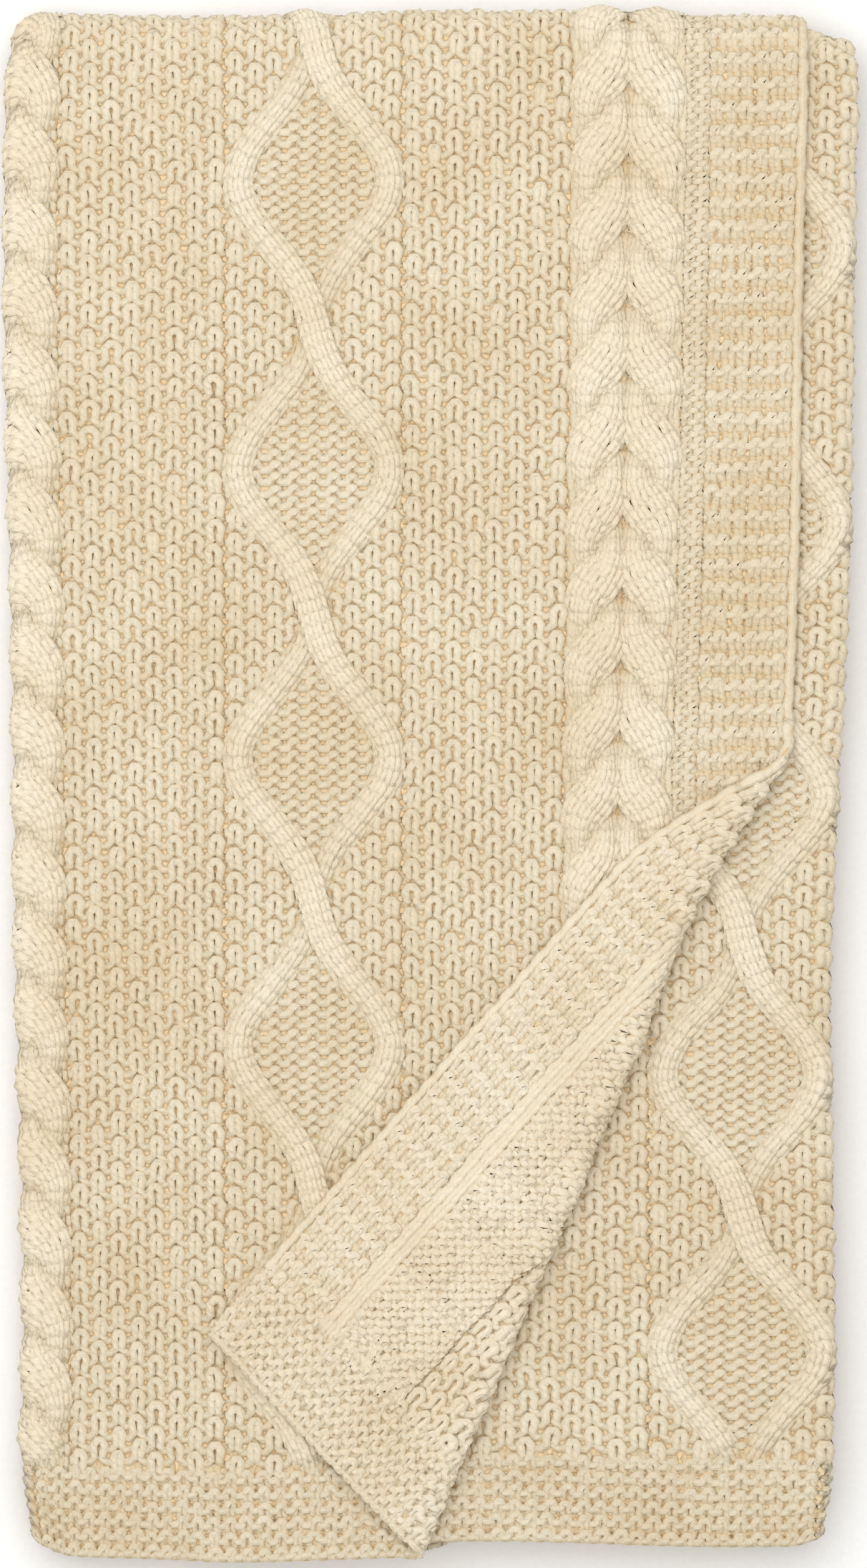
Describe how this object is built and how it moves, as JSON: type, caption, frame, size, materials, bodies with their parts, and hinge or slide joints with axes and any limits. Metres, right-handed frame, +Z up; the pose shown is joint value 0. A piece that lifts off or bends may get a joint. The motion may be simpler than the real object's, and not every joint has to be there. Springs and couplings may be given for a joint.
{
  "type": "folded throw blanket",
  "caption": "Chunky cable-knit throw, folded in thirds and then in half, with one cover corner turned back.",
  "frame": {"origin": "centre of the footprint of the folded throw, on the surface that it lies on", "axes": "+Z up; +Y along the throw from the hems to the half fold; +X across the thirds, from the left fold to the right fold"},
  "size_m": [0.483, 0.876, 0.0592],
  "materials": {
    "cream_knit": "matte, softly fuzzy chunky yarn",
    "label_tape": "smooth woven satin tape",
    "sewing_thread": "fine twisted thread"
  },
  "bodies": {
    "lower_half": {"lower_base_leaf": "cream_knit", "lower_base_hem": "cream_knit", "lower_tuck_leaf": "cream_knit", "lower_tuck_hem": "cream_knit", "lower_tuck_side_border": "cream_knit", "lower_left_fold": "cream_knit", "lower_right_fold": "cream_knit", "lower_cover_leaf": "cream_knit", "lower_cover_hem": "cream_knit", "lower_cover_side_border": "cream_knit", "care_label": "label_tape", "label_stitching": "sewing_thread", "outer_top_fold": "cream_knit", "middle_top_fold": "cream_knit", "inner_top_fold": "cream_knit", "left_corner_fold": "cream_knit", "right_corner_fold": "cream_knit"},
    "upper_half": {"upper_base_leaf": "cream_knit", "upper_base_hem": "cream_knit", "upper_tuck_leaf": "cream_knit", "upper_tuck_hem": "cream_knit", "upper_tuck_side_border": "cream_knit", "upper_left_fold": "cream_knit", "upper_right_fold": "cream_knit", "upper_cover_leaf": "cream_knit", "upper_cover_hem": "cream_knit", "upper_cover_side_border": "cream_knit", "corner_crease": "cream_knit"},
    "turned_corner": {"corner_side_border": "cream_knit", "corner_field": "cream_knit", "corner_hem": "cream_knit"}
  },
  "joints": [
    {"name": "half_fold", "type": "hinge", "parent": "lower_half", "child": "upper_half", "pos_m": [0, 0.41935, 0.02535], "axis": [-1, 0, 0], "range_deg": [0, 180], "deforming": ["outer_top_fold", "middle_top_fold", "inner_top_fold", "left_corner_fold", "right_corner_fold"]},
    {"name": "corner_turnback", "type": "hinge", "parent": "upper_half", "child": "turned_corner", "pos_m": [0.10392, -0.17552, 0.05085], "axis": [0.386, 0.9225, 0], "range_deg": [0, 180], "deforming": ["corner_crease"]}
  ]
}
